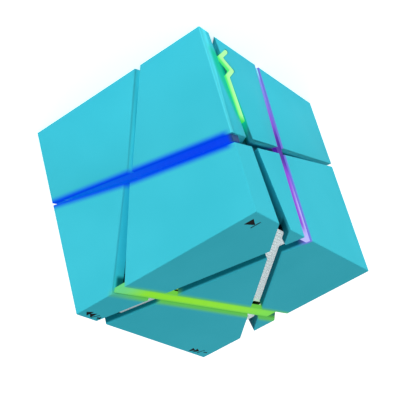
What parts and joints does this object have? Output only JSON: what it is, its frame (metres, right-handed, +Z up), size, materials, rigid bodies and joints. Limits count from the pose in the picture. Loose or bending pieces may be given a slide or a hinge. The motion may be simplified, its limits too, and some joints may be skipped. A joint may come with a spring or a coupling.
{
  "type": "cube loudspeaker",
  "caption": "Palm-sized cube loudspeaker: a skin of cracked blocks around a core, light guides in the cracks, three press keys and a slide switch.",
  "frame": {"origin": "centre of the square face that the cube rests on", "axes": "+Z up towards the face with the control marks, -Y is the face with the blue light guide, -X is the face with the purple light guide, +Y is the face with the ports"},
  "size_m": [0.067, 0.067, 0.067],
  "materials": {
    "shell": "satin moulded plastic, light turquoise",
    "mark": "black printed marks",
    "light_blue": "translucent light guide glowing deep blue",
    "light_purple": "translucent light guide glowing purple",
    "light_lime": "translucent light guide glowing yellow-green",
    "light_green": "translucent light guide glowing pale green",
    "led": "white strip board with emitters",
    "core": "dark teal moulded plastic",
    "baffle": "black moulded plastic",
    "grille": "white perforated sheet",
    "basket": "black pressed steel",
    "foam": "soft black gasket",
    "magnet": "dark sintered ferrite",
    "plated_steel": "zinc plated steel",
    "copper": "enamelled copper winding",
    "paper_cone": "black pulp cone",
    "rubber": "black rubber roll",
    "spider_cloth": "resin-dipped woven cloth",
    "circuit_board": "green solder mask",
    "tin": "tinned steel shell",
    "black_plastic": "black moulded plastic",
    "battery_wrap": "pale heat-shrink wrap",
    "lead_red": "thin insulated lead",
    "lead_black": "thin insulated lead",
    "screw": "small zinc plated fastener"
  },
  "bodies": {
    "housing": {"block_middle": "shell", "block_left": "shell", "block_rear": "shell", "block_wedge": "shell", "foot_front": "shell", "foot_strip": "shell", "foot_left": "shell", "foot_rear_left": "shell", "foot_right": "shell", "foot_rear": "shell", "guide_blue": "light_blue", "guide_purple": "light_purple", "guide_lime": "light_lime", "guide_bolt": "light_green", "led_bar_blue": "led", "led_bar_purple": "led", "led_bar_lime": "led", "core_floor": "core", "core_sides": "core", "core_ends": "core", "baffle": "baffle", "grille": "grille", "driver_basket": "basket", "driver_gasket": "foam", "driver_magnet": "magnet", "driver_top_plate": "plated_steel", "driver_yoke": "plated_steel", "surround": "rubber", "spider": "spider_cloth", "key_boards": "circuit_board", "tact_switches": "tin", "main_board": "circuit_board", "main_chip": "black_plastic", "usb_port": "tin", "aux_jack": "black_plastic", "card_slot": "tin", "switch_body": "tin", "port_plate": "black_plastic", "battery": "battery_wrap", "battery_leads": "lead_red", "driver_leads": "lead_black", "baffle_screws": "screw", "foot_screws": "screw", "board_screws": "screw"},
    "key_play": {"block_play": "shell", "icon_play": "mark", "clip_play": "screw", "plunger_play": "black_plastic"},
    "key_prev": {"block_prev": "shell", "icon_prev": "mark", "clip_prev": "screw", "plunger_prev": "black_plastic"},
    "key_next": {"block_next": "shell", "icon_next": "mark", "clip_next": "screw", "plunger_next": "black_plastic"},
    "cone_assembly": {"cone": "paper_cone", "voice_coil": "copper", "dust_cap": "paper_cone"},
    "switch_slider": {"switch_knob": "black_plastic"}
  },
  "joints": [
    {"name": "press_play", "type": "slide", "parent": "housing", "child": "key_play", "axis": [0, 0, -1], "range_m": [0, 0.0005], "stiffness_N_per_m": 1600, "springref_m": -0.0004},
    {"name": "press_prev", "type": "slide", "parent": "housing", "child": "key_prev", "axis": [0, 0, -1], "range_m": [0, 0.0005], "stiffness_N_per_m": 1600, "springref_m": -0.0004},
    {"name": "press_next", "type": "slide", "parent": "housing", "child": "key_next", "axis": [0, 0, -1], "range_m": [0, 0.0005], "stiffness_N_per_m": 1600, "springref_m": -0.0004},
    {"name": "cone_stroke", "type": "slide", "parent": "housing", "child": "cone_assembly", "axis": [0, 0, 1], "range_m": [-0.0005, 0.0005], "stiffness_N_per_m": 1500, "deforming": ["surround", "spider"]},
    {"name": "power_switch", "type": "slide", "parent": "housing", "child": "switch_slider", "axis": [1, 0, 0], "range_m": [0, 0.002]}
  ]
}
